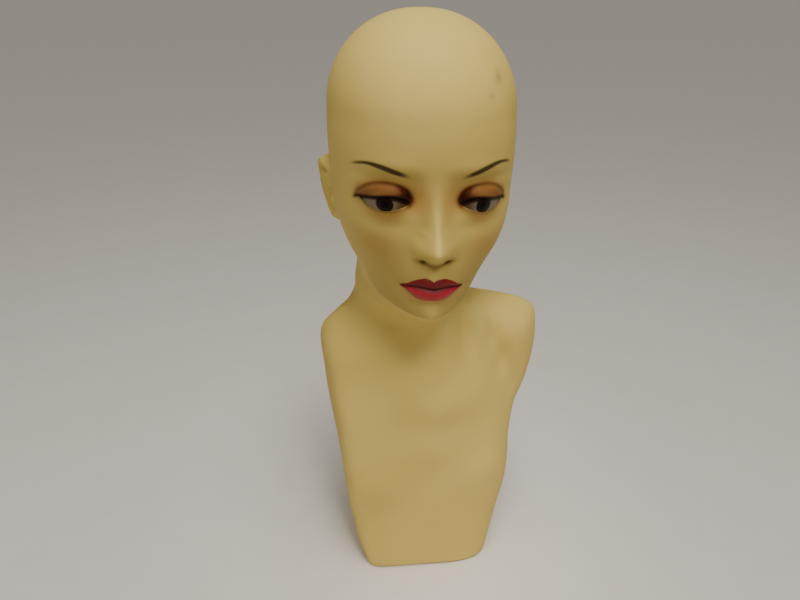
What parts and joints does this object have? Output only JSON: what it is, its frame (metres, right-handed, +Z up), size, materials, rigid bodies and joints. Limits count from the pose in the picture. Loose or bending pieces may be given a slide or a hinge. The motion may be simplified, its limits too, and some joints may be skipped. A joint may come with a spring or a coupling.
{
  "type": "display mannequin head",
  "caption": "Bald female display head with neck and cut-off shoulders: a hollow painted laminate bust on a flat weighted base, for showing wigs, hats or jewellery.",
  "frame": {"origin": "on the table, at the middle of the base's felt", "axes": "+Z up, the face looks along -Y, the bust's own left is +X"},
  "size_m": [0.2003, 0.2102, 0.505],
  "materials": {
    "painted_laminate": "glass-fibre laminate, sprayed with satin yellow-beige skin paint; face painted by hand",
    "glass_tape": "glass tape wetted out with resin",
    "lash_fibre": "matt dark brown lash fibre",
    "plywood": "raw birch plywood",
    "softwood": "sawn softwood",
    "zinc_steel": "bright zinc plate",
    "mild_steel": "mill-finish flat bar",
    "felt": "pressed wool felt"
  },
  "bodies": {
    "root": {"front_shell": "painted_laminate", "rear_shell": "painted_laminate", "seam_tape_left": "glass_tape", "seam_tape_right": "glass_tape", "crown_patch": "glass_tape", "eyelashes_left": "lash_fibre", "eyelashes_right": "lash_fibre", "base_board": "plywood", "corner_blocks": "softwood", "base_screws": "zinc_steel", "ballast_plate": "mild_steel", "ballast_bolts": "zinc_steel", "ballast_washers": "zinc_steel", "ballast_nuts": "zinc_steel", "base_felt": "felt"}
  },
  "joints": []
}
